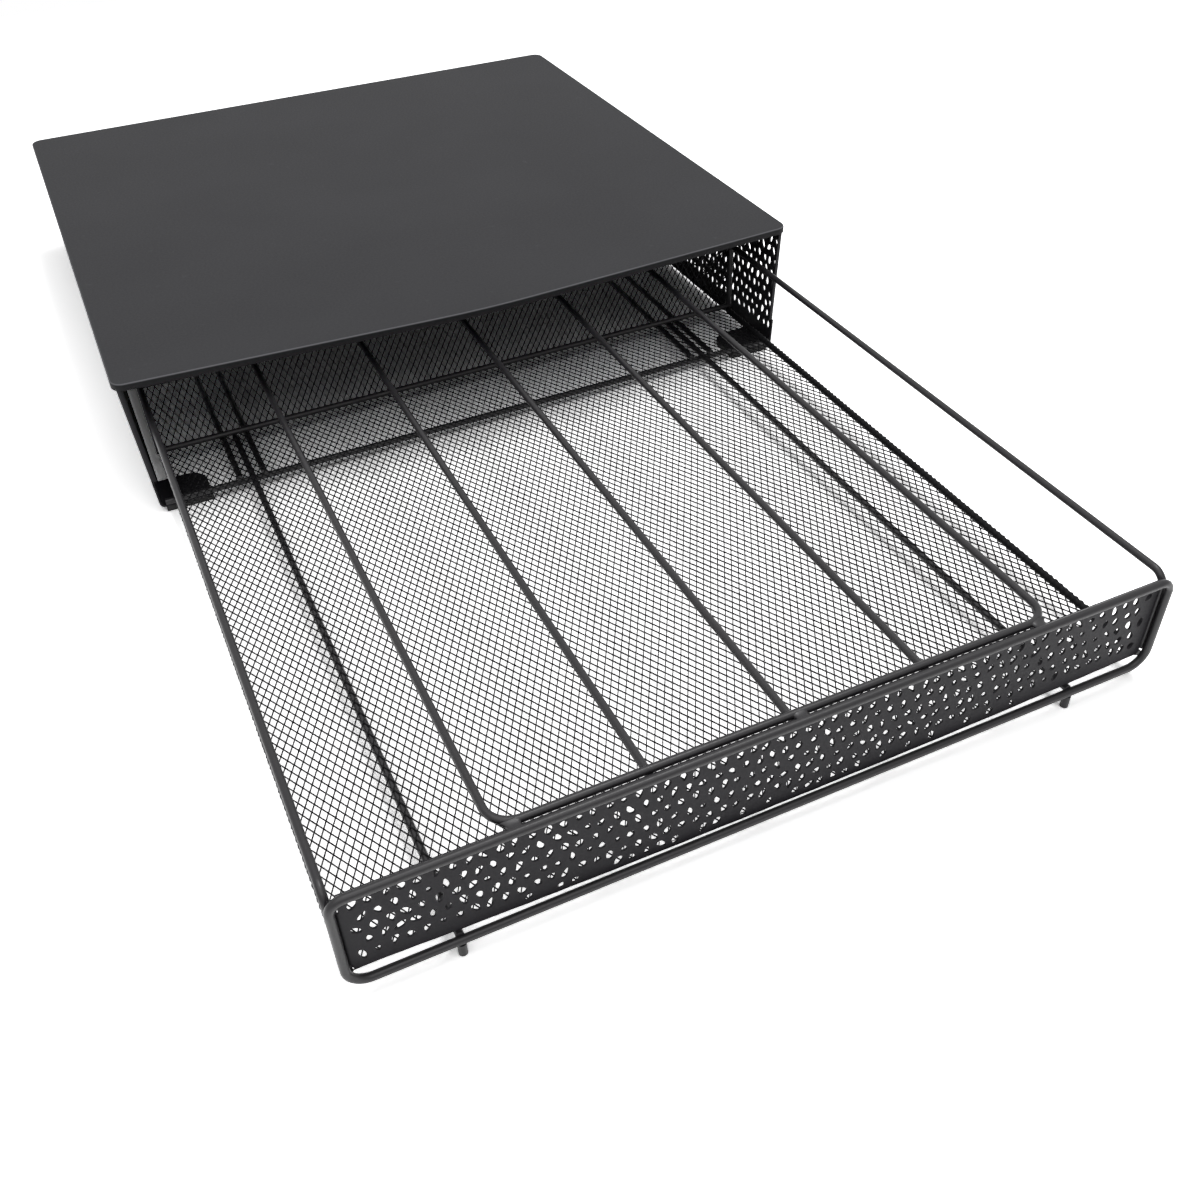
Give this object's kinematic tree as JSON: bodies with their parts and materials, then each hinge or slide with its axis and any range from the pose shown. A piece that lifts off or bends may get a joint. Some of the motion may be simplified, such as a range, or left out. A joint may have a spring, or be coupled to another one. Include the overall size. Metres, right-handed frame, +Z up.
{
  "type": "coffee pod drawer",
  "caption": "Low steel countertop housing with a flat top and a sliding wire-and-mesh drawer that holds coffee pods in rows between its wires.",
  "frame": {"origin": "on the table, under the middle of the whole object with the drawer pulled out", "axes": "+X to the right seen from the drawer's front, +Y from the drawer's front to the housing's back, +Z up"},
  "size_m": [0.34, 0.6136, 0.07],
  "materials": {
    "top_sheet": "matte dark grey powder coat",
    "perforated_sheet": "satin black powder coat",
    "black_wire": "satin black powder coat",
    "mesh": "satin black powder coat",
    "foot_rubber": "matte black"
  },
  "bodies": {
    "housing": {"top_plate": "top_sheet", "left_side_panel": "perforated_sheet", "right_side_panel": "perforated_sheet", "rear_panel": "perforated_sheet", "left_front_foot_pad": "foot_rubber", "left_rear_foot_pad": "foot_rubber", "right_front_foot_pad": "foot_rubber", "right_rear_foot_pad": "foot_rubber", "front_crossbar": "black_wire", "rear_crossbar": "black_wire", "left_outer_track": "black_wire", "left_inner_track": "black_wire", "right_outer_track": "black_wire", "right_inner_track": "black_wire"},
    "drawer": {"front_frame": "black_wire", "front_panel": "perforated_sheet", "left_top_rail": "black_wire", "right_top_rail": "black_wire", "row_loop": "black_wire", "weld_tabs": "black_wire", "divider_wire_1": "black_wire", "divider_wire_2": "black_wire", "divider_wire_3": "black_wire", "floor_mesh": "mesh", "rear_mesh": "mesh", "left_floor_hem": "mesh", "right_floor_hem": "mesh", "left_runner": "black_wire", "right_runner": "black_wire", "rear_bottom_bar": "black_wire", "rear_top_bar": "black_wire", "left_rear_post": "black_wire", "right_rear_post": "black_wire", "left_foot_peg": "black_wire", "right_foot_peg": "black_wire"}
  },
  "joints": [
    {"name": "drawer_slide", "type": "slide", "parent": "housing", "child": "drawer", "axis": [0, 1, 0], "range_m": [0, 0.2826]}
  ]
}
